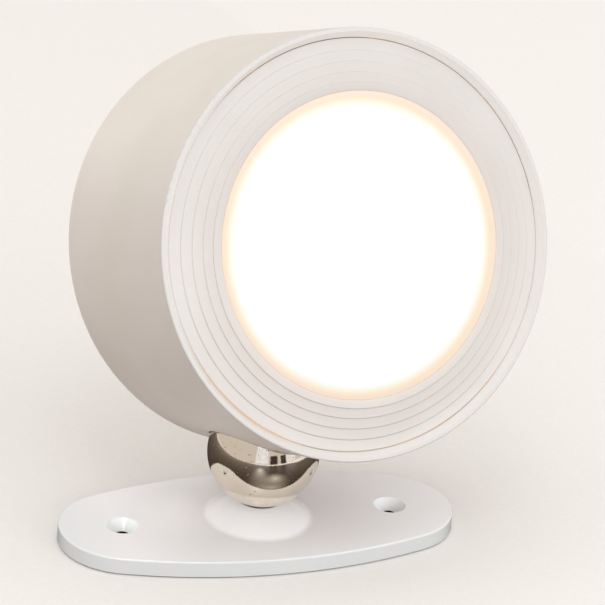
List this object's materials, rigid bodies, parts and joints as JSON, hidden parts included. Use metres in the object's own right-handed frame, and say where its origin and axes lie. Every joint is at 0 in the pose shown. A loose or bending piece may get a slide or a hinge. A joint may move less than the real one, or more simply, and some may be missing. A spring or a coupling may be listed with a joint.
{
  "type": "pivoting spotlight wall light",
  "caption": "Cordless wall light: a round white lamp head with a stepped bezel and a glowing opal disc, held magnetically on a steel ball over an oval screw-on plate.",
  "frame": {"origin": "Centre of the flat back of the wall plate, where the plate meets the wall.", "axes": "+Z points out of the wall, from the plate's back through the ball; X runs along the plate's long side through both wall-screw holes; the lit face looks towards -Y and up at rest."},
  "size_m": [0.1089, 0.0858, 0.1173],
  "materials": {
    "plate_plastic": "satin",
    "ball_plating": "polished",
    "zinc_steel": "satin",
    "pad_plastic": "matte",
    "pot_steel": "satin",
    "magnet_plating": "polished",
    "shell_plastic": "satin",
    "bezel_plastic": "matte",
    "opal_plastic": "satin",
    "frame_plastic": "matte",
    "board_white": "matte",
    "led_yellow": "satin",
    "cell_wrap": "gloss",
    "nickel": "satin",
    "board_green": "satin",
    "chip_black": "matte",
    "copper": "satin",
    "lead_sleeve": "satin"
  },
  "bodies": {
    "base": {"mounting_plate": "plate_plastic"},
    "ball": {"steel_ball": "ball_plating", "ball_washer": "zinc_steel", "ball_screw": "zinc_steel"},
    "seat": {"seat_pad": "pad_plastic", "magnet_pot": "pot_steel", "magnet": "magnet_plating"},
    "head": {"housing": "shell_plastic", "bezel_ring": "bezel_plastic", "diffuser": "opal_plastic", "light_frame": "frame_plastic", "led_board": "board_white", "leds": "led_yellow", "magnet_retainer": "pot_steel", "tapping_screws": "zinc_steel", "battery_cell": "cell_wrap", "battery_tabs": "nickel", "battery_cradle": "frame_plastic", "control_board": "board_green", "board_components": "chip_black", "charging_socket": "nickel", "socket_tongue": "chip_black", "touch_foil": "copper", "battery_leads": "lead_sleeve", "led_leads": "lead_sleeve"}
  },
  "joints": [
    {"name": "ball_pan", "type": "hinge", "parent": "base", "child": "ball", "pos_m": [0, 0, 0.02012], "axis": [0, 0, 1], "continuous": true},
    {"name": "seat_tilt", "type": "hinge", "parent": "ball", "child": "seat", "pos_m": [0, 0, 0.02012], "axis": [-0.8563, 0.5165, 0], "range_deg": [-61, 6]},
    {"name": "head_twist", "type": "hinge", "parent": "seat", "child": "head", "pos_m": [0, 0, 0.02012], "axis": [0.2375, 0.3938, 0.888], "continuous": true}
  ]
}
